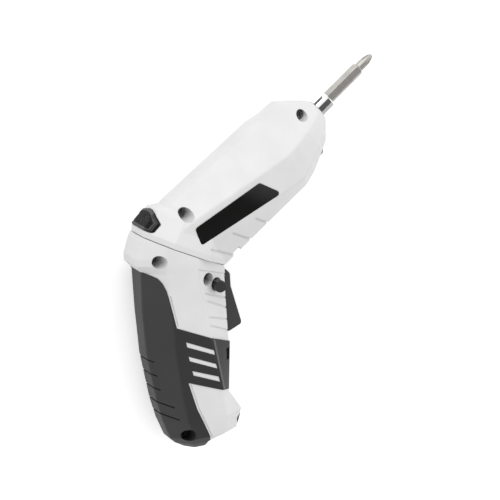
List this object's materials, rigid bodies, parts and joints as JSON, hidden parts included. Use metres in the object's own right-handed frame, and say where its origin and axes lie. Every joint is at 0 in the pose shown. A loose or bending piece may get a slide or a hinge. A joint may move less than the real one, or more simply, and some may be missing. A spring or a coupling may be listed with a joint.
{
  "type": "electric screwdriver",
  "caption": "cordless screwdriver that folds between a pistol and a straight form, with rubber grip, trigger, direction selector, work light and a hex bit",
  "frame": {"origin": "centre of the bit socket's mouth, on the axis of the bit", "axes": "+X out of the bit socket along the bit, +Y to the top of the head, +Z to the tool's right-hand side, which is up: the tool lies on its left side"},
  "size_m": [0.2259, 0.1266, 0.0412],
  "materials": {
    "white_plastic": "satin white injection moulding with fine spark grain",
    "charcoal_rubber": "matt over-moulded soft grip",
    "dark_plastic": "satin dark grey moulding",
    "gloss_black": "smooth gloss plate",
    "chrome": "polished",
    "bit_steel": "satin drawn",
    "steel": "machined",
    "zinc_screw": "dark plated",
    "bronze": "sintered",
    "board_green": "coated laminate",
    "cell_wrap": "film wrapped cell, light metal stands for its mean density",
    "nickel": "rolled strip",
    "clear_lens": "clear moulded dome",
    "diode_white": "potted chip",
    "nylon": "natural moulding",
    "ferrite": "sintered"
  },
  "bodies": {
    "handle": {"handle_shell_right": "white_plastic", "handle_shell_left": "white_plastic", "grip_right": "charcoal_rubber", "grip_left": "charcoal_rubber", "index_ring": "nylon", "handle_screws": "zinc_screw", "trigger_pin": "steel", "trigger_spring": "steel", "trigger_switch": "dark_plastic", "battery_cells": "cell_wrap", "battery_straps": "nickel", "control_board": "board_green", "charging_jack": "dark_plastic", "charge_light": "gloss_black"},
    "trigger": {"trigger": "dark_plastic"},
    "selector": {"direction_selector": "dark_plastic"},
    "head": {"head_shell_right": "white_plastic", "head_shell_left": "white_plastic", "label_plate": "gloss_black", "head_screws": "zinc_screw", "lock_spring": "steel", "work_light_lens": "clear_lens", "work_light_diode": "diode_white", "motor_can": "steel", "motor_end_cap": "nylon", "motor_magnets": "ferrite", "gear_case": "nylon", "spindle_bush": "bronze"},
    "lock": {"lock_button": "dark_plastic"},
    "rotor": {"motor_rotor": "steel", "motor_pinion": "steel"},
    "first_stage": {"first_carrier": "steel"},
    "spindle": {"output_spindle": "steel", "bit_holder": "chrome", "retaining_clip": "steel", "bit_magnet": "steel"},
    "bit": {"screwdriver_bit": "bit_steel"},
    "first_planet_1": {"first_planet_1": "nylon"},
    "second_planet_1": {"second_planet_1": "steel"},
    "first_planet_2": {"first_planet_2": "nylon"},
    "second_planet_2": {"second_planet_2": "steel"},
    "first_planet_3": {"first_planet_3": "nylon"},
    "second_planet_3": {"second_planet_3": "steel"}
  },
  "joints": [
    {"name": "head_swivel", "type": "hinge", "parent": "handle", "child": "head", "pos_m": [-0.117, 0, 0], "axis": [-0.891, -0.454, 0], "range_deg": [0, 180]},
    {"name": "trigger_pull", "type": "hinge", "parent": "handle", "child": "trigger", "pos_m": [-0.11006, -0.02754, 0], "axis": [0, 0, -1], "range_deg": [0, 9], "stiffness_Nm_per_rad": 0.8, "springref_deg": -3.44, "deforming": ["trigger_spring"]},
    {"name": "selector_slide", "type": "slide", "parent": "handle", "child": "selector", "axis": [0, 0, -1], "range_m": [0, 0.007]},
    {"name": "lock_press", "type": "slide", "parent": "head", "child": "lock", "axis": [0.454, -0.891, 0], "range_m": [0, 0.0024], "stiffness_N_per_m": 1500, "springref_m": -0.0012, "deforming": ["lock_spring"]},
    {"name": "rotor_spin", "type": "hinge", "parent": "head", "child": "rotor", "pos_m": [-0.07, 0, 0], "axis": [1, 0, 0], "continuous": true},
    {"name": "first_stage_spin", "type": "hinge", "parent": "head", "child": "first_stage", "pos_m": [-0.04, 0, 0], "axis": [1, 0, 0], "continuous": true},
    {"name": "spindle_spin", "type": "hinge", "parent": "head", "child": "spindle", "pos_m": [-0.015, 0, 0], "axis": [1, 0, 0], "continuous": true},
    {"name": "bit_pull", "type": "slide", "parent": "spindle", "child": "bit", "axis": [1, 0, 0], "range_m": [0, 0.016]},
    {"name": "first_planet_1_spin", "type": "hinge", "parent": "first_stage", "child": "first_planet_1", "pos_m": [-0.0446, 0.0075, 0], "axis": [1, 0, 0], "continuous": true},
    {"name": "second_planet_1_spin", "type": "hinge", "parent": "spindle", "child": "second_planet_1", "pos_m": [-0.0346, 0.0075, 0], "axis": [1, 0, 0], "continuous": true},
    {"name": "first_planet_2_spin", "type": "hinge", "parent": "first_stage", "child": "first_planet_2", "pos_m": [-0.0446, -0.00375, 0.00649], "axis": [1, 0, 0], "continuous": true},
    {"name": "second_planet_2_spin", "type": "hinge", "parent": "spindle", "child": "second_planet_2", "pos_m": [-0.0346, -0.00375, 0.00649], "axis": [1, 0, 0], "continuous": true},
    {"name": "first_planet_3_spin", "type": "hinge", "parent": "first_stage", "child": "first_planet_3", "pos_m": [-0.0446, -0.00375, -0.00649], "axis": [1, 0, 0], "continuous": true},
    {"name": "second_planet_3_spin", "type": "hinge", "parent": "spindle", "child": "second_planet_3", "pos_m": [-0.0346, -0.00375, -0.00649], "axis": [1, 0, 0], "continuous": true}
  ],
  "couplings": [
    {"joint": "first_stage_spin", "follows": "rotor_spin", "ratio": 0.2},
    {"joint": "spindle_spin", "follows": "rotor_spin", "ratio": 0.04},
    {"joint": "first_planet_1_spin", "follows": "rotor_spin", "ratio": -0.53333},
    {"joint": "second_planet_1_spin", "follows": "rotor_spin", "ratio": -0.10667},
    {"joint": "first_planet_2_spin", "follows": "rotor_spin", "ratio": -0.53333},
    {"joint": "second_planet_2_spin", "follows": "rotor_spin", "ratio": -0.10667},
    {"joint": "first_planet_3_spin", "follows": "rotor_spin", "ratio": -0.53333},
    {"joint": "second_planet_3_spin", "follows": "rotor_spin", "ratio": -0.10667}
  ]
}
